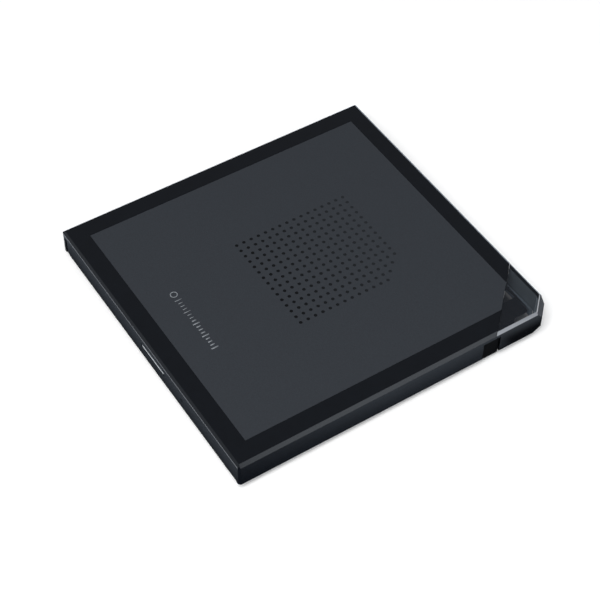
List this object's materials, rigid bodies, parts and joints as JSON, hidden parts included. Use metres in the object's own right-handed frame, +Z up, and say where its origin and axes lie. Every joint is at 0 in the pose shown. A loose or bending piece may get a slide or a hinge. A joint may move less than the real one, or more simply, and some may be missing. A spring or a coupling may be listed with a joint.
{
  "type": "external optical disc drive",
  "caption": "Slim tray-load external optical drive with a smoked corner window over its stowed USB-C plug.",
  "frame": {"origin": "middle of the underside, on the surface the feet stand on", "axes": "+Z up; the tray opens towards -Y; the corner window and the stowed plug are at +X +Y"},
  "size_m": [0.138, 0.143, 0.0145],
  "materials": {
    "gloss_black": "glossy injection-moulded black plastic",
    "matte_graphite": "fine matte texture",
    "smoked": "smoked translucent plastic, polished",
    "dark_plastic": "fine spark-eroded texture",
    "black_rubber": "matte rubber",
    "cable_jacket": "satin soft jacket",
    "screw_steel": "plated",
    "plug_steel": "drawn and plated",
    "board_green": "solder mask",
    "chip_black": "moulded epoxy",
    "sheet_steel": "zinc-plated sheet",
    "bright_steel": "ground",
    "cream_plastic": "self-lubricating plastic",
    "flex": "polyester flat cable",
    "tray_plastic": "fine matte",
    "bezel_plastic": "satin",
    "button_plastic": "satin grey",
    "light_pipe": "clear, frosted end",
    "copper": "enamelled winding",
    "lens_glass": "coated lens",
    "sled_metal": "die cast"
  },
  "bodies": {
    "case": {"top_cover": "gloss_black", "cover_panel": "matte_graphite", "corner_window": "smoked", "finger_pad": "black_rubber", "bottom_cover": "dark_plastic", "rubber_feet": "black_rubber", "case_screws": "screw_steel", "cable_grommet": "black_rubber", "usb_cable": "cable_jacket", "plug_overmould": "black_rubber", "plug_shell": "plug_steel", "plug_insert": "chip_black", "plug_clip": "dark_plastic", "bridge_board": "board_green", "bridge_chips": "chip_black", "bridge_connector": "chip_black", "chassis_pan": "sheet_steel", "chassis_cover": "sheet_steel", "chassis_screws": "screw_steel", "latch_post": "bright_steel", "guide_left": "cream_plastic", "guide_right": "cream_plastic", "main_board": "board_green", "main_chips": "chip_black", "sata_plug": "chip_black", "ffc_connector": "cream_plastic", "ffc_lower": "flex"},
    "tray": {"disc_tray": "tray_plastic", "tray_rim": "tray_plastic", "tray_shield": "sheet_steel", "tray_screws": "screw_steel", "front_bezel": "bezel_plastic", "front_board": "board_green", "tact_switch": "chip_black", "light_pipe": "light_pipe", "solenoid": "copper", "kick_pin": "bright_steel", "kick_spring": "bright_steel", "traverse_frame": "sheet_steel", "dampers": "black_rubber", "damper_screws": "screw_steel", "spindle_motor": "sheet_steel", "guide_rods": "bright_steel", "stepper_motor": "bright_steel", "ffc_upper": "flex"},
    "button": {"eject_button": "button_plastic"},
    "spindle": {"turntable": "bright_steel", "hub_pad": "black_rubber"},
    "sled": {"pickup_sled": "sled_metal", "pickup_cover": "sheet_steel"},
    "lens": {"lens_holder": "chip_black", "objective_lens": "lens_glass"},
    "screw": {"lead_screw": "bright_steel"},
    "latch": {"latch_lever": "cream_plastic"},
    "plunger": {"solenoid_plunger": "bright_steel"},
    "left_rail": {"rail_left": "bright_steel"},
    "right_rail": {"rail_right": "bright_steel"},
    "flex_loop": {"ffc_bend": "flex"}
  },
  "joints": [
    {"name": "tray_slide", "type": "slide", "parent": "case", "child": "tray", "axis": [0, -1, 0], "range_m": [0, 0.124], "deforming": ["ffc_upper"]},
    {"name": "left_rail_slide", "type": "slide", "parent": "case", "child": "left_rail", "axis": [0, -1, 0], "range_m": [0, 0.062]},
    {"name": "right_rail_slide", "type": "slide", "parent": "case", "child": "right_rail", "axis": [0, -1, 0], "range_m": [0, 0.062]},
    {"name": "flex_slide", "type": "slide", "parent": "case", "child": "flex_loop", "axis": [0, -1, 0], "range_m": [0, 0.062], "deforming": ["ffc_lower"]},
    {"name": "button_press", "type": "slide", "parent": "tray", "child": "button", "axis": [0, 1, 0], "range_m": [0, 0.0005], "stiffness_N_per_m": 900, "springref_m": -0.0004},
    {"name": "spindle_spin", "type": "hinge", "parent": "tray", "child": "spindle", "pos_m": [-0.001, -0.005, 0.0091], "axis": [0, 0, 1], "continuous": true},
    {"name": "sled_slide", "type": "slide", "parent": "tray", "child": "sled", "axis": [-0.7071, -0.7071, 0], "range_m": [0, 0.032]},
    {"name": "screw_spin", "type": "hinge", "parent": "tray", "child": "screw", "pos_m": [0.01279, -0.01879, 0.0062], "axis": [-0.7071, -0.7071, 0], "range_deg": [0, 3840]},
    {"name": "lens_focus", "type": "slide", "parent": "sled", "child": "lens", "axis": [0, 0, 1], "range_m": [-0.0003, 0.0003], "stiffness_N_per_m": 60},
    {"name": "latch_turn", "type": "hinge", "parent": "tray", "child": "latch", "pos_m": [0.026, -0.05, 0.0064], "axis": [0, 0, 1], "range_deg": [0, 14], "stiffness_Nm_per_rad": 0.02, "springref_deg": -5.73},
    {"name": "plunger_slide", "type": "slide", "parent": "tray", "child": "plunger", "axis": [0, -1, 0], "range_m": [0, 0.0013]}
  ],
  "couplings": [
    {"joint": "left_rail_slide", "follows": "tray_slide", "ratio": 0.5},
    {"joint": "right_rail_slide", "follows": "tray_slide", "ratio": 0.5},
    {"joint": "flex_slide", "follows": "tray_slide", "ratio": 0.5},
    {"joint": "screw_spin", "follows": "sled_slide", "rad_per_m": 2094.4},
    {"joint": "plunger_slide", "follows": "latch_turn", "m_per_rad": 0.005}
  ]
}
